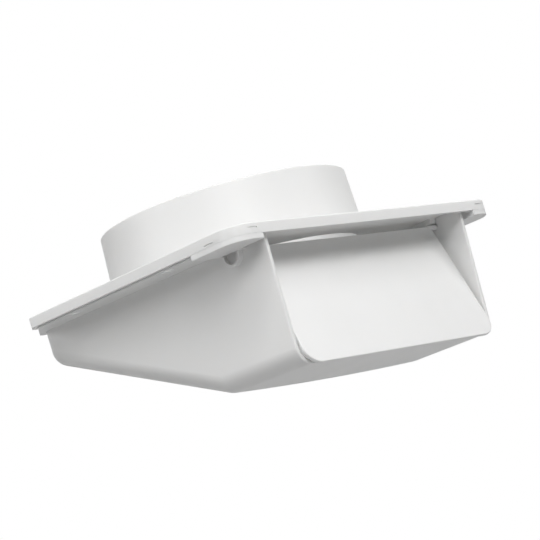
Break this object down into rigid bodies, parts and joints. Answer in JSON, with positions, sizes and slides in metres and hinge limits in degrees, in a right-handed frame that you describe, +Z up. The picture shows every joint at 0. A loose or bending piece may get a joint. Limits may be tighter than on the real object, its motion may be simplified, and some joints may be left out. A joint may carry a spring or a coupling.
{
  "type": "eave vent",
  "caption": "White plastic under-eave exhaust vent: a flanged plate with a round duct collar on top, a sloping hood below and a top-hinged back-draft flap across its mouth.",
  "frame": {"origin": "on the duct's axis, level with the top face of the plate that goes against the soffit", "axes": "+Z up along the duct collar, -Y out of the hood's mouth, +X to the right seen from the front"},
  "size_m": [0.15, 0.129, 0.0783],
  "materials": {
    "plate_plastic": "satin moulded",
    "hood_plastic": "satin moulded",
    "flap_plastic": "satin moulded"
  },
  "bodies": {
    "housing": {"duct_plate": "plate_plastic", "hood": "hood_plastic"},
    "flap": {"damper_flap": "flap_plastic"}
  },
  "joints": [
    {"name": "flap_hinge", "type": "hinge", "parent": "housing", "child": "flap", "pos_m": [0, -0.0534, -0.0054], "axis": [-1, 0, 0], "range_deg": [0, 74]}
  ]
}
